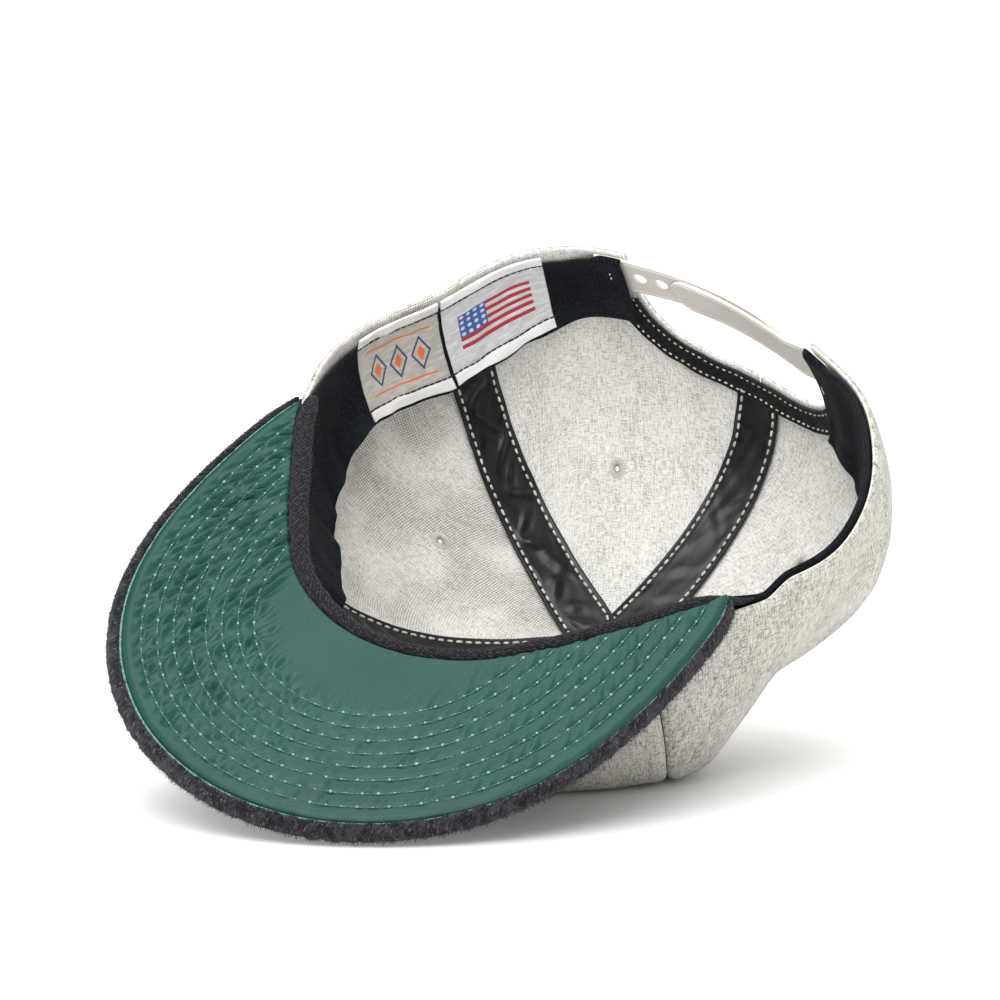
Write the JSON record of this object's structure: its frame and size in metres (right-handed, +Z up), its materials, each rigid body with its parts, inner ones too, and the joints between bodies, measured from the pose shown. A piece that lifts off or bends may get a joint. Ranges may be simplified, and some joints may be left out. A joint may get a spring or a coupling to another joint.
{
  "type": "snapback baseball cap",
  "caption": "Soft wool baseball cap with a curved-edge flat brim, fabric sweatband, taped seams and a plastic snap strap across a rear arch, lying tipped over with its hollow showing.",
  "frame": {"origin": "on the flattened wool of the crown, in the plane of the surface that the cap lies on", "axes": "+Z up from that surface; the brim points towards -Y and the rear strap towards +Y; +X is roughly the wearer's right"},
  "size_m": [0.1845, 0.2594, 0.1639],
  "materials": {
    "grey_wool": "heather grey wool flannel",
    "charcoal_wool": "fuzzy charcoal wool",
    "green_satin": "satin cotton sewn in rows",
    "navy_twill": "dull cotton twill",
    "black_satin_tape": "satin seam tape",
    "eyelet_thread": "embroidery thread",
    "silver_label": "woven label",
    "white_label": "woven label",
    "strap_plastic": "moulded polyethylene"
  },
  "bodies": {
    "root": {"front_right_panel": "grey_wool", "side_right_panel": "grey_wool", "rear_right_panel": "grey_wool", "rear_left_panel": "grey_wool", "side_left_panel": "grey_wool", "front_left_panel": "grey_wool", "front_right_eyelet": "eyelet_thread", "side_right_eyelet": "eyelet_thread", "rear_right_eyelet": "eyelet_thread", "rear_left_eyelet": "eyelet_thread", "side_left_eyelet": "eyelet_thread", "front_left_eyelet": "eyelet_thread", "top_button": "grey_wool", "front_seam_tape": "black_satin_tape", "front_right_seam_tape": "black_satin_tape", "rear_right_seam_tape": "black_satin_tape", "back_seam_tape": "black_satin_tape", "rear_left_seam_tape": "black_satin_tape", "front_left_seam_tape": "black_satin_tape", "arch_tape": "black_satin_tape", "strap_with_holes": "strap_plastic", "strap_with_pegs": "strap_plastic", "sweatband": "navy_twill", "label_silver": "silver_label", "label_striped": "white_label", "brim_cover": "charcoal_wool", "brim_underside": "green_satin", "joint_roll": "navy_twill"}
  },
  "joints": []
}
